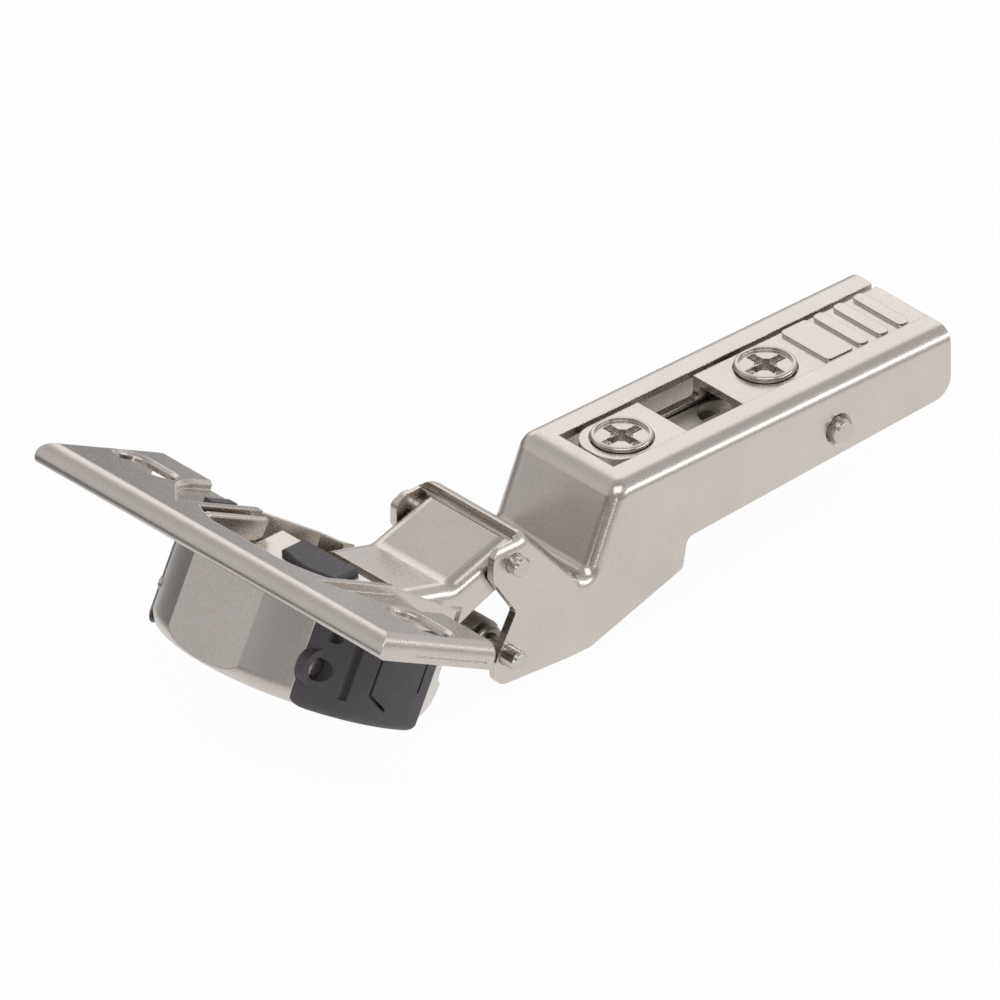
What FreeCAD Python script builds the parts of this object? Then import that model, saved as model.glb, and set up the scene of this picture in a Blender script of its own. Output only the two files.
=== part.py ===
"""Clip-on concealed cabinet hinge for an angled door, with a soft-close cup.

Millimetres. Row frame: the origin is the clip seat, midway across the arm;
+X runs to the arm's rear end, +Y to its far side, +Z away from the cabinet side.
The arm group is drawn from the lower lever pin, the cup group from the cup's centre
on the flange face, and each sub-part is then placed in the row frame.
"""
import FreeCAD
import Part
import math
import os
import re

import Sketcher

App = FreeCAD
os.makedirs("parts", exist_ok=True)
doc = FreeCAD.newDocument("CabinetHinge")
sizes = doc.addObject("Spreadsheet::Sheet", "Sizes")

# Driving dimensions: name, value, meaning

DIMENSIONS = [
    # Places of the two groups
    ("seat_x", 35.5, "clip seat behind the lower lever pin"),
    ("seat_z", 4.0, "clip seat above the lower lever pin"),
    ("cup_x", -17.6, "cup centre from the lower lever pin"),
    ("cup_z", 17.48, "flange face above the lower lever pin"),
    ("cup_tilt", 26.47, "tilt of the cup, degrees"),
    # Arm: one folded channel
    ("steel", 1.05, "sheet of the arm"),
    ("arm_half", 8.5, "half width over the cheeks"),
    ("arm_top", 14.5, "top of the arm"),
    ("arm_rear", 67.0, "rear end"),
    ("arm_round", 1.9, "outer rounding along the long edges"),
    ("arm_edge_rear", 6.2, "cheek's lower edge at the rear"),
    ("arm_edge_mid", 3.9, "cheek's lower edge at mid length"),
    ("belly_depth", 4.24, "deepest point of the cheek's belly"),
    ("lobe_x", 2.05, "front of the cheek's upper lobe, before the lower pin"),
    ("lobe_up", 2.42, "top of the upper lobe above its pin"),
    ("lobe_low_x", 1.75, "front of the cheek's lower lobe"),
    ("lobe_low_z", 3.6, "bottom of the lower lobe"),
    ("lobe_round", 1.7, "rounding of the lobes"),
    ("lip_step", 0.4, "step from the lobe up to the lip"),
    ("waist_x", 1.4, "waist between the lobes"),
    ("waist_z", 5.0, "waist between the lobes"),
    ("belly_x", 9.0, "start of the level belly"),
    ("belly_reach", 3.6, "length of the level belly"),
    ("belly_round", 3.0, "rounding of the belly's corners"),
    ("step_x", 27.2, "step in the cheek's lower edge"),
    ("step_lean", 0.7, "lean of that step"),
    ("step_low", 0.2, "foot of that step"),
    ("opening_front", 19.7, "front end of the top opening"),
    ("opening_half", 4.53, "half width of the top opening"),
    ("wall_x", 17.1, "top corner of the sloping front wall"),
    ("wall_angle", 66.0, "slope of the front wall, degrees"),
    ("valley_z", 5.1, "floor of the valley"),
    ("ramp_x", 11.5, "foot of the ramp in front of the valley"),
    ("ramp_angle", 49.0, "slope of the ramp, degrees"),
    ("lip_x", 2.45, "front edge of the lip"),
    ("bend", 1.2, "inside radius of a fold"),
    ("top_bend", 2.4, "outside radius of the top fold"),
    # Pins across the arm
    ("upper_x", 1.07, "upper lever pin"),
    ("upper_z", 11.53, "upper lever pin"),
    ("rear_x", 50.08, "rear pin"),
    ("rear_z", 8.51, "rear pin"),
    ("pin_r", 1.2, "radius of the lever pins"),
    ("rear_pin_r", 1.45, "radius of the rear pin"),
    ("upper_stand", 1.5, "upper pin beyond the cheek"),
    ("lower_stand", 2.3, "lower pin beyond the cheek"),
    ("rear_stand", 1.1, "rear pin beyond the cheek"),
    ("hole_edge", 0.45, "sunk edge of the pin holes"),
    ("pin_fit", 0.04, "running clearance on a pin's radius"),
    ("pin_play", 0.3, "end play of the rear pin in its slot"),
    ("pin_beyond", 1.2, "cup pins beyond what they carry"),
    ("pin_chamfer", 0.3, "edge of a staked pin end"),
    # Carrier: narrow channel that shows in the arm's opening
    ("carrier_half", 4.15, "half width"),
    ("carrier_sheet", 1.0, "sheet"),
    ("carrier_top", 14.1, "top of the plate"),
    ("carrier_front", 20.4, "front end"),
    ("carrier_rear", 67.4, "rear end"),
    ("carrier_edge", 5.6, "lower edge of the side walls"),
    ("carrier_corner", 3.6, "rounding of its front corners"),
    ("carrier_nose", 9.0, "lower edge of its walls over the bridge"),
    ("window_front", 31.3, "access window"),
    ("window_rear", 39.7, "access window"),
    ("window_floor", 11.6, "depth of the window's notch in the walls"),
    ("pad_height", 0.35, "raised pads on the plate"),
    ("pad_half", 4.0, "half length of a pad across the plate"),
    ("plate_pad_x", 54.6, "middle of the wide pad"),
    ("plate_pad_length", 4.0, "wide pad along the arm"),
    ("rib_first_x", 58.2, "first of the narrow pads"),
    ("rib_pitch", 3.0, "pitch of the narrow pads"),
    ("rib_length", 1.56, "narrow pad along the arm"),
    # Adjusting screws
    ("side_x", 25.1, "side screw"),
    ("depth_x", 46.8, "depth screw"),
    ("head_r", 3.55, "radius of a screw head"),
    ("head_up", 0.55, "side screw's head above the plate"),
    ("depth_up", 0.7, "depth screw's head above the plate"),
    ("head_sink", 0.6, "head let into the plate"),
    ("neck_r", 1.9, "neck below a head"),
    ("thread_r", 1.75, "side screw's thread"),
    ("dish_edge", 0.45, "rim round the dished top of a head"),
    ("dish_depth", 0.35, "dished top of a head"),
    ("bore_r", 1.25, "bore in the middle of a head"),
    ("bore_depth", 2.2, "bore in the middle of a head"),
    ("cross_width", 1.15, "slots of the cross recess"),
    ("cross_length", 5.2, "slots of the cross recess"),
    ("cross_depth", 1.0, "depth of the cross recess"),
    ("side_reach", 7.6, "side screw below the plate"),
    ("cam_r", 2.7, "spiral disc of the depth screw"),
    ("cam_thick", 1.0, "spiral disc of the depth screw"),
    ("screw_gap", 0.05, "running clearance of the screws"),
    ("bridge_z", 6.6, "top of the threaded bridge"),
    ("bridge_thick", 1.2, "threaded bridge"),
    ("bridge_half", 2.9, "bridge along the arm"),
    ("bridge_gap", 0.4, "play between the screw's thread and its bridge"),
    # Clip base inside the carrier
    ("base_half", 2.95, "half width of the clip base"),
    ("base_sheet", 1.0, "sheet"),
    ("base_top", 11.0, "top of the clip base"),
    ("base_front", 31.3, "front end"),
    ("base_rear", 66.2, "rear end"),
    ("hook_depth", 2.6, "front hook below the seat"),
    ("hook_length", 2.6, "front hook along the arm"),
    ("slot_travel_front", 2.0, "depth travel forward"),
    ("slot_travel_rear", 3.0, "depth travel rearward"),
    ("peg_r", 0.7, "peg under the spiral disc"),
    ("base_hole_r", 2.6, "hole in the base under the window"),
    ("base_hole_x", 40.0, "hole in the base under the window"),
    # Release lever and its spring
    ("release_x", 60.4, "release lever's pin"),
    ("release_z", 6.6, "release lever's pin"),
    ("release_half", 1.7, "half width of the release lever"),
    ("release_pin_r", 0.9, "release lever's pin"),
    ("latch_x", 56.6, "middle of the latch nose"),
    ("latch_half", 1.5, "latch nose along the arm"),
    ("latch_low", 2.9, "bottom of the latch nose"),
    ("tail_x", 65.6, "rear end of the release lever"),
    ("release_thick", 1.6, "height of the release lever's bar"),
    ("release_boss", 1.7, "radius of its eye"),
    ("release_wire", 0.4, "wire of the release spring"),
    ("release_coil_r", 1.35, "middle radius of its coil"),
    ("release_leg", 2.2, "its two legs"),
    # Outer lever: wide folded channel on the upper pin
    ("outer_half", 7.15, "half width over the flanges"),
    ("outer_sheet", 1.0, "sheet"),
    ("outer_rear_x", 1.75, "rear edge of the top plate"),
    ("outer_slope", 17.6, "slope behind the bend, degrees"),
    ("outer_rise", 15.0, "slope in front of the bend, degrees"),
    ("outer_bend_r", 2.5, "radius of the bend"),
    ("outer_waist_x", -3.5, "waist of the flanges"),
    ("outer_waist_z", 7.0, "waist of the flanges"),
    ("outer_bend_x", -6.71, "bend line of the top plate"),
    ("outer_bend_z", 10.91, "bend line of the top plate"),
    ("outer_front_x", -13.4, "front edge of the top plate"),
    ("outer_front_z", 12.7, "front edge of the top plate"),
    ("outer_round", 1.9, "rounding along the long edges"),
    ("outer_eye", 2.0, "lever's eye round the upper pin"),
    ("outer_cup_eye", 2.0, "lever's eye round its cup pin"),
    ("outer_cup_u", 8.0, "its pin in the cup, towards the arm"),
    ("outer_cup_d", 9.0, "its pin in the cup, below the flange"),
    # Inner lever on the lower pin
    ("inner_half", 4.4, "half width"),
    ("inner_thick", 2.2, "height of its body"),
    ("inner_sheet", 1.1, "sheet"),
    ("inner_eye", 2.5, "eye round the lower pin"),
    ("inner_cup_eye", 1.5, "eye round its cup pin"),
    ("inner_cup_u", 6.0, "its pin in the cup, towards the arm"),
    ("inner_cup_d", 5.7, "its pin in the cup, below the flange"),
    ("cup_pin_r", 0.9, "radius of the cup pins"),
    # Closing spring round the lower pin
    ("spring_wire", 0.9, "wire"),
    ("spring_side", 0.75, "middle of its first turn beside the inner lever"),
    ("spring_r", 1.7, "middle radius of the coil"),
    ("spring_back_angle", -30.0, "where its rear leg leaves the coil, degrees"),
    ("spring_back_leg", 9.6, "rear leg, under the ramp"),
    ("spring_front_angle", 236.0, "where its front leg leaves the coil, degrees"),
    ("spring_front_leg", 1.6, "front leg, beside the inner lever"),
    # Cup: flange and drum pressed from one sheet
    ("cup_sheet", 1.0, "sheet"),
    ("flange_half", 28.4, "half length of the flange"),
    ("flange_front", 21.1, "front edge from the cup's centre"),
    ("flange_rear", 2.1, "rear edge in front of the cup's centre"),
    ("rim_height", 2.9, "folded rim"),
    ("rim_round", 1.75, "rounding of the rim"),
    ("rim_under", 0.9, "rounding of the rim's lower front edge"),
    ("flap_line", 2.1, "line along the rim's ends, below the flange face"),
    ("flap_line_front", 15.0, "front end of that line"),
    ("flap_line_rear", 3.2, "rear end of that line"),
    ("slot_edge", 0.4, "bevelled edge of a fixing slot"),
    ("slot_u", 9.45, "fixing slots in front of the centre"),
    ("slot_y", 22.5, "fixing slots from the middle"),
    ("slot_r", 2.5, "half width of a fixing slot"),
    ("slot_length", 8.0, "fixing slot end to end"),
    ("drum_r", 17.5, "radius of the drum"),
    ("drum_flat", 11.45, "flats of the steel drum from the middle"),
    ("drum_front", 16.55, "flat front of the drum from its centre"),
    ("taper_u", 9.2, "where the flats turn in, behind the centre"),
    ("drum_taper", 33.2, "angle of the flats there, degrees"),
    ("drum_depth", 15.0, "drum below the flange face"),
    ("drum_round", 2.4, "rounding of its bottom edge"),
    ("recess_side", 18.6, "side of the coined recess over a housing, from the middle"),
    ("recess_corner", 8.0, "its front corner before the centre"),
    ("recess_round", 9.0, "rounding of that corner"),
    ("recess_front", 15.2, "its front end before the centre"),
    ("recess_depth", 1.0, "its depth"),
    ("wall_rise", 3.9, "where the walls start to slope, before the centre"),
    ("wall_drop", 2.5, "side walls at their rear below the flange face"),
    ("mouth_low", 3.2, "rear rim of the drum below the flange face"),
    ("lever_gate", 8.9, "half width of the rear gate for the levers"),
    ("lever_gate_low", 12.4, "bottom of the rear gate"),
    # Plastic housings outside the drum's flats
    ("housing_front", 13.4, "front end before the centre"),
    ("housing_rear", 2.0, "rear end behind the centre"),
    ("housing_top", 2.2, "top below the flange face"),
    ("housing_gap", 0.05, "between a housing and the drum"),
    ("panel_depth", 0.3, "grooves and panel lines"),
    ("line_width", 0.3, "width of the lines on a housing"),
    ("line_top", 4.4, "top of the lines below the flange face"),
    ("line_front", 6.0, "front line before the centre"),
    ("line_low", 11.4, "foot of the front line"),
    ("line_end", 3.6, "end of its slanting part before the centre"),
    ("line_end_low", 12.8, "end of its slanting part below the flange face"),
    ("line_rear", 0.3, "rear line behind the centre"),
    ("rib_u", 9.0, "broad groove before the centre"),
    ("rib_width", 1.4, "broad groove"),
    ("dimple_u", 11.2, "round dimple before the centre"),
    ("dimple_d", 5.9, "round dimple below the flange face"),
    ("dimple_r", 0.7, "round dimple"),
    ("tab_front", 7.7, "front of the far housing's tab before the centre"),
    ("tab_rear", 3.5, "rear of the tab before the centre"),
    ("tab_y", 13.7, "middle of the tab from the middle"),
    ("tab_half", 0.65, "half thickness of the tab"),
    ("tab_d", 0.4, "top of the tab below the flange face"),
    ("tab_gap", 0.1, "clearance round the tab"),
    ("damper_u", 11.8, "damper pin in front of the centre"),
    ("damper_d", 10.0, "damper pin below the flange face"),
    ("damper_pin_r", 1.3, "radius of the damper pin"),
    ("boss_rise", 1.3, "near end of the damper pin's boss, from the flat"),
    ("boss_r", 2.3, "radius of the boss"),
    ("pin_reach", 0.9, "damper pin beyond the flat"),
    # Bracket of the damper beside the far wall
    ("bracket_y", 8.95, "middle of the bracket from the middle"),
    ("bracket_sheet", 1.0, "sheet"),
    ("bracket_front", 13.2, "front end before the centre"),
    ("bracket_rear", 2.6, "rear end before the centre"),
    ("bracket_top", 0.2, "top below the flange face"),
    ("bracket_low", 3.0, "lower edge below the flange face"),
    ("bracket_leg_front", 9.0, "leg's front edge before the centre"),
    ("bracket_leg_rear", 5.0, "leg's rear edge before the centre"),
    # Deck with the damping switch
    ("deck_front", 6.1, "front edge before the cup centre"),
    ("deck_rear", 1.0, "rear edge before the cup centre"),
    ("deck_half", 8.2, "half width"),
    ("deck_top", 0.98, "top below the cup centre"),
    ("deck_sheet", 0.9, "sheet"),
    ("deck_seat", 0.001937, "between the foot of the deck's leg and the cup's floor"),
    ("leg_half", 5.0, "half width of the leg"),
    ("stem_x", 3.0, "switch stem before the cup centre"),
    ("stem_half", 0.8, "half width of the stem"),
    ("switch_travel", 2.5, "travel of the switch"),
    ("switch_chamfer", 0.25, "edge of the switch"),
    ("switch_half", 4.45, "half width of the switch"),
    ("switch_rise", 0.8, "height of the switch"),
    ("switch_bow", 0.9, "bulge of its front edge"),
    ("switch_front", 5.0, "front edge before the cup centre"),
    ("switch_rear", 1.15, "rear edge before the cup centre"),
    ("switch_gap", 0.05, "between the switch and its deck"),
]

for row, (alias, value, meaning) in enumerate(DIMENSIONS, start=1):
    sizes.set("A%d" % row, meaning)
    sizes.set("B%d" % row, str(value))
    sizes.setAlias("B%d" % row, alias)
doc.recompute()

# Drawing helpers: every length is a formula in the names above

TRIM_REACH = 150.0


def formula(text):
    """Turn the names in a formula into references to the sheet."""
    return re.sub(r"\b([a-z][a-z_0-9]*)\b(?!\()", r"Sizes.\1", text)


def value(text):
    """The present value of a formula."""
    return float(sizes.evalExpression(formula(text)))


def new_body(name):
    body = doc.addObject("PartDesign::Body", name)
    body.Label = name
    return body


def sketch_on(body, plane, name, lift=None):
    """A sketch on one of the body's own origin planes, lifted along its normal."""
    support = [item for item in body.Origin.OriginFeatures if item.Role == plane][0]
    sketch = body.newObject("Sketcher::SketchObject", name)
    sketch.AttachmentSupport = (support, [""])
    sketch.MapMode = "FlatFace"
    if lift is not None:
        sketch.setExpression("AttachmentOffset.Base.z", formula(lift))
    return sketch


def place(sketch, geometry, point, across, up):
    """Hold a point of the sketch at two formulas measured from the origin."""
    for kind, text in (("DistanceX", across), ("DistanceY", up)):
        index = sketch.addConstraint(Sketcher.Constraint(kind, -1, 1, geometry, point, value(text)))
        sketch.setExpression("Constraints[%d]" % index, formula(text))


def circle(sketch, across, up, radius):
    centre = App.Vector(value(across), value(up), 0)
    shape = Part.Circle(centre, App.Vector(0, 0, 1), value(radius))
    index = sketch.addGeometry(shape, False)
    place(sketch, index, 3, across, up)
    held = sketch.addConstraint(Sketcher.Constraint("Radius", index, value(radius)))
    sketch.setExpression("Constraints[%d]" % held, formula(radius))


def outline(sketch, corners):
    """A closed outline. A corner is (across, up), or (across, up, radius) if rounded."""
    points = [App.Vector(value(corner[0]), value(corner[1]), 0) for corner in corners]
    count = len(points)
    arrive = []
    leave = []
    rounds = {}
    for i, corner in enumerate(corners):
        point = points[i]
        if len(corner) == 2:
            arrive.append(point)
            leave.append(point)
            continue
        back = (points[i - 1] - point).normalize()
        ahead = (points[(i + 1) % count] - point).normalize()
        half = back.getAngle(ahead) / 2
        radius = value(corner[2])
        arrive.append(point + back * (radius / math.tan(half)))
        leave.append(point + ahead * (radius / math.tan(half)))
        centre = point + (back + ahead).normalize() * (radius / math.sin(half))
        crown = centre + (point - centre).normalize() * radius
        rounds[i] = Part.Arc(arrive[i], crown, leave[i])
    lines = []
    for i in range(count):
        segment = Part.LineSegment(leave[i], arrive[(i + 1) % count])
        lines.append(sketch.addGeometry(segment, False))
    for i, corner in enumerate(corners):
        before = lines[i - 1]
        after = lines[i]
        if i not in rounds:
            sketch.addConstraint(Sketcher.Constraint("Coincident", before, 2, after, 1))
            place(sketch, after, 1, corner[0], corner[1])
            continue
        arc = sketch.addGeometry(rounds[i], False)
        starts_here = sketch.getPoint(arc, 1).distanceToPoint(arrive[i]) < 1e-6
        first, last = (1, 2) if starts_here else (2, 1)
        sketch.addConstraint(Sketcher.Constraint("Tangent", before, 2, arc, first))
        sketch.addConstraint(Sketcher.Constraint("Tangent", arc, last, after, 1))
        held = sketch.addConstraint(Sketcher.Constraint("Radius", arc, value(corner[2])))
        sketch.setExpression("Constraints[%d]" % held, formula(corner[2]))
        tip = sketch.addGeometry(Part.Point(points[i]), True)
        place(sketch, tip, 1, corner[0], corner[1])
        sketch.addConstraint(Sketcher.Constraint("PointOnObject", tip, 1, before))
        sketch.addConstraint(Sketcher.Constraint("PointOnObject", tip, 1, after))


def rectangle(sketch, left, right, low, high, radius=None):
    corners = [(left, low), (right, low), (right, high), (left, high)]
    if radius is not None:
        corners = [corner + (radius,) for corner in corners]
    outline(sketch, corners)


def pad(body, sketch, name, length, side="Symmetric", turned=False):
    feature = body.newObject("PartDesign::Pad", name)
    feature.Profile = sketch
    feature.SideType = side
    feature.Reversed = turned
    feature.setExpression("Length", formula(length))
    return feature


def pocket(body, sketch, name, length=None, side="Symmetric", turned=False):
    """Cut by a length, or right through where none is given."""
    feature = body.newObject("PartDesign::Pocket", name)
    feature.Profile = sketch
    feature.SideType = side
    feature.Reversed = turned
    if length is None:
        feature.Type = "ThroughAll"
    else:
        feature.setExpression("Length", formula(length))
    return feature


def dress(body, base, name, kind, size, pick):
    """Round or chamfer the edges of a feature that a rule picks."""
    doc.recompute()
    edges = ["Edge%d" % (i + 1) for i, edge in enumerate(base.Shape.Edges) if pick(edge)]
    feature = body.newObject("PartDesign::" + kind, name)
    feature.Base = (base, edges)
    feature.setExpression("Radius" if kind == "Fillet" else "Size", formula(size))
    return feature


def keep_inside(body, plane, name, corners):
    """Cut away all of the body outside an outline, seen square to a plane."""
    sketch = sketch_on(body, plane, name + "_sketch")
    reach = App.Vector(TRIM_REACH, TRIM_REACH, 0)
    turn = App.Vector(TRIM_REACH, -TRIM_REACH, 0)
    for start, end in ((reach, turn), (turn, -reach), (-reach, -turn), (-turn, reach)):
        sketch.addGeometry(Part.LineSegment(start, end), False)
    for i in range(4):
        sketch.addConstraint(Sketcher.Constraint("Coincident", i, 2, (i + 1) % 4, 1))
        sketch.addConstraint(Sketcher.Constraint("Block", i))
    outline(sketch, corners)
    return pocket(body, sketch, name)


def on_ends(edge):
    """Circles at the two ends of a pin drawn along Y."""
    middle = edge.BoundBox.Center
    return edge.BoundBox.YLength < 1e-6 and abs(middle.y) > 1.0


def pin(name, across, up, radius, half_length):
    body = new_body(name)
    sketch = sketch_on(body, "XZ_Plane", name + "_section")
    circle(sketch, across, up, radius)
    shaft = pad(body, sketch, name + "_shaft", "2 * (%s)" % half_length)
    dress(body, shaft, name + "_ends", "Chamfer", "pin_chamfer", on_ends)
    return body


def in_arm_frame(item):
    """Place a sub-part that is drawn from the lower lever pin."""
    item.setExpression("Placement.Base.x", formula("-seat_x"))
    item.setExpression("Placement.Base.z", formula("-seat_z"))
    return item


def in_deck_frame(item):
    """Place a sub-part that is drawn level from the cup's centre."""
    item.setExpression("Placement.Base.x", formula("cup_x - seat_x"))
    item.setExpression("Placement.Base.z", formula("cup_z - seat_z"))
    return item


def in_cup_frame(item):
    """Place a sub-part that is drawn along the cup's own axes."""
    turn = App.Rotation(App.Vector(0, 1, 0), value("cup_tilt"))
    item.Placement = App.Placement(App.Vector(0, 0, 0), turn)
    item.setExpression("Placement.Rotation.Angle", formula("cup_tilt"))
    return in_deck_frame(item)


# Places worked out from the sheet

WALL_FOOT_X = "wall_x - (arm_top - valley_z) / tan(wall_angle)"
RAMP_TOP_X = "ramp_x - (arm_top - valley_z) / tan(ramp_angle)"
DECK_FOOT = ("-(drum_depth - cup_sheet - deck_seat - deck_front * sin(cup_tilt))"
             " / cos(cup_tilt)")
OUTER_CUP_X = "cup_x + outer_cup_u * cos(cup_tilt) - outer_cup_d * sin(cup_tilt)"
OUTER_CUP_Z = "cup_z - outer_cup_u * sin(cup_tilt) - outer_cup_d * cos(cup_tilt)"
INNER_CUP_X = "cup_x + inner_cup_u * cos(cup_tilt) - inner_cup_d * sin(cup_tilt)"
INNER_CUP_Z = "cup_z - inner_cup_u * sin(cup_tilt) - inner_cup_d * cos(cup_tilt)"
PLATE_UNDER = "carrier_top - carrier_sheet"


def make_arm():
    """Channel folded from one sheet: rails, front wall, valley, ramp and two cheeks."""
    body = new_body("arm")
    skin = sketch_on(body, "XZ_Plane", "arm_skin")
    outline(skin, [
        ("arm_rear", "arm_top"),
        ("wall_x", "arm_top", "top_bend"),
        (WALL_FOOT_X, "valley_z", "bend"),
        ("ramp_x", "valley_z", "bend"),
        (RAMP_TOP_X, "arm_top", "top_bend"),
        ("-lobe_x - steel", "arm_top"),
        ("-lobe_x - steel", "-belly_depth - steel"),
        ("arm_rear", "-belly_depth - steel"),
    ])
    block = pad(body, skin, "arm_block", "2 * arm_half")
    half = value("arm_half")
    floor = value("valley_z") - value("steel") / 2

    def along_the_top(edge):
        box = edge.BoundBox
        return box.YLength < 1e-6 and abs(abs(box.YMin) - half) < 1e-6 and box.ZMin > floor

    rounded = dress(body, block, "arm_long_edges", "Fillet", "arm_round", along_the_top)
    hollow = sketch_on(body, "XZ_Plane", "arm_hollow")
    outline(hollow, [
        ("arm_rear + steel", "arm_top - steel"),
        ("wall_x + steel * tan(wall_angle / 2)", "arm_top - steel", "top_bend - steel"),
        (WALL_FOOT_X + " + steel * tan(wall_angle / 2)", "valley_z - steel", "bend + steel"),
        ("ramp_x - steel * tan(ramp_angle / 2)", "valley_z - steel", "bend + steel"),
        (RAMP_TOP_X + " - steel * tan(ramp_angle / 2)", "arm_top - steel", "top_bend - steel"),
        ("lip_x", "arm_top - steel"),
        ("lip_x", "arm_top + steel"),
        ("-lobe_x - 2 * steel", "arm_top + steel"),
        ("-lobe_x - 2 * steel", "-belly_depth - 2 * steel"),
        ("arm_rear + steel", "-belly_depth - 2 * steel"),
    ])
    pocket(body, hollow, "arm_inside", "2 * (arm_half - steel)")
    keep_inside(body, "XZ_Plane", "arm_cheeks", [
        ("lip_x - lip_step", "arm_top + steel"),
        ("arm_rear", "arm_top + steel"),
        ("arm_rear", "arm_edge_rear", "2 * bend"),
        ("step_x", "arm_edge_mid", "bend"),
        ("step_x - step_lean", "step_low", "bend / 2"),
        ("belly_x + belly_reach", "-belly_depth", "belly_round"),
        ("belly_x", "-belly_depth", "belly_round"),
        ("-lobe_low_x", "-lobe_low_z", "lobe_round"),
        ("-lobe_low_x", "-lobe_low_x / 4", "bend"),
        ("waist_x", "waist_z", "bend / 2"),
        ("-lobe_x", "upper_z - bend", "bend"),
        ("-lobe_x", "upper_z + lobe_up", "lobe_round"),
        ("lip_x - 2 * lip_step", "upper_z + lobe_up"),
    ])
    opening = sketch_on(body, "XY_Plane", "arm_opening", "arm_top - steel / 2")
    rectangle(opening, "opening_front", "arm_rear + steel", "-opening_half", "opening_half")
    pocket(body, opening, "arm_top_opening", "3 * steel")
    holes = sketch_on(body, "XZ_Plane", "arm_pin_holes")
    circle(holes, "0", "0", "pin_r + pin_fit")
    circle(holes, "upper_x", "upper_z", "pin_r + pin_fit")
    circle(holes, "rear_x", "rear_z", "rear_pin_r + pin_fit")
    bored = pocket(body, holes, "arm_holes")

    def outer_rims(edge):
        box = edge.BoundBox
        on_cheek = box.YLength < 1e-6 and abs(abs(box.YMin) - half) < 1e-6
        return edge.isClosed() and on_cheek and box.ZMin > floor

    dress(body, bored, "arm_hole_edges", "Chamfer", "hole_edge", outer_rims)
    return in_arm_frame(body)


def make_bridge():
    """Flat bar between the cheeks, threaded for the side screw."""
    body = new_body("adjuster_bridge")
    plan = sketch_on(body, "XY_Plane", "bridge_plan", "bridge_z - bridge_thick / 2")
    outline(plan, [
        ("side_x - bridge_half", "-(arm_half - steel - pin_fit)"),
        ("side_x + bridge_half", "-(arm_half - steel - pin_fit)"),
        ("side_x + bridge_half", "arm_half - steel - pin_fit"),
        ("side_x - bridge_half", "arm_half - steel - pin_fit"),
    ])
    circle(plan, "side_x", "0", "thread_r + bridge_gap")
    pad(body, plan, "bridge_bar", "bridge_thick")
    return in_arm_frame(body)


def make_carrier():
    """Narrow channel in the arm's opening, with the access window and raised pads."""
    body = new_body("carrier_plate")
    side = sketch_on(body, "XZ_Plane", "carrier_side")
    outline(side, [
        ("carrier_front", "carrier_top"),
        ("carrier_rear", "carrier_top"),
        ("carrier_rear", "carrier_edge + steel", "bend"),
        ("carrier_rear - 2 * bend", "carrier_edge", "bend"),
        ("window_front", "carrier_edge", "bend"),
        ("window_front - bend", "carrier_nose", "bend / 2"),
        ("carrier_front", "carrier_nose", "bend"),
    ])
    pad(body, side, "carrier_block", "2 * carrier_half")
    inside = sketch_on(body, "XZ_Plane", "carrier_inside")
    rectangle(inside, "carrier_front - steel", "carrier_rear + steel", "carrier_edge - steel",
              PLATE_UNDER)
    pocket(body, inside, "carrier_channel", "2 * (carrier_half - carrier_sheet)")
    window = sketch_on(body, "XZ_Plane", "carrier_window")
    rectangle(window, "window_front", "window_rear", "window_floor", "carrier_top + 2 * steel",
              "bend / 2")
    pocket(body, window, "carrier_access")
    necks = sketch_on(body, "XY_Plane", "carrier_necks", "carrier_top - carrier_sheet / 2")
    circle(necks, "side_x", "0", "neck_r + screw_gap")
    circle(necks, "depth_x", "0", "neck_r + screw_gap")
    pocket(body, necks, "carrier_neck_holes", "2 * carrier_sheet")
    sinks = sketch_on(body, "XY_Plane", "carrier_sinks", "carrier_top")
    circle(sinks, "side_x", "0", "head_r + 3 * screw_gap")
    circle(sinks, "depth_x", "0", "head_r + 3 * screw_gap")
    pocket(body, sinks, "carrier_counterbores", "head_sink + screw_gap", "One side")
    pads = sketch_on(body, "XY_Plane", "carrier_pads", "carrier_top")
    rectangle(pads, "plate_pad_x - plate_pad_length / 2", "plate_pad_x + plate_pad_length / 2",
              "-pad_half", "pad_half", "bend / 2")
    for i in range(3):
        middle = "rib_first_x + %d * rib_pitch" % i
        rectangle(pads, middle + " - rib_length / 2", middle + " + rib_length / 2",
                  "-pad_half", "pad_half", "bend / 2")
    pad(body, pads, "carrier_raised_pads", "pad_height", "One side")
    hole = sketch_on(body, "XZ_Plane", "carrier_pin_hole")
    circle(hole, "rear_x", "rear_z", "rear_pin_r + pin_fit")
    pocket(body, hole, "carrier_hole")
    keep_inside(body, "XY_Plane", "carrier_corners", [
        ("carrier_front", "-carrier_half", "carrier_corner"),
        ("carrier_rear + steel", "-carrier_half"),
        ("carrier_rear + steel", "carrier_half"),
        ("carrier_front", "carrier_half", "carrier_corner"),
    ])
    return in_arm_frame(body)


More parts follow.
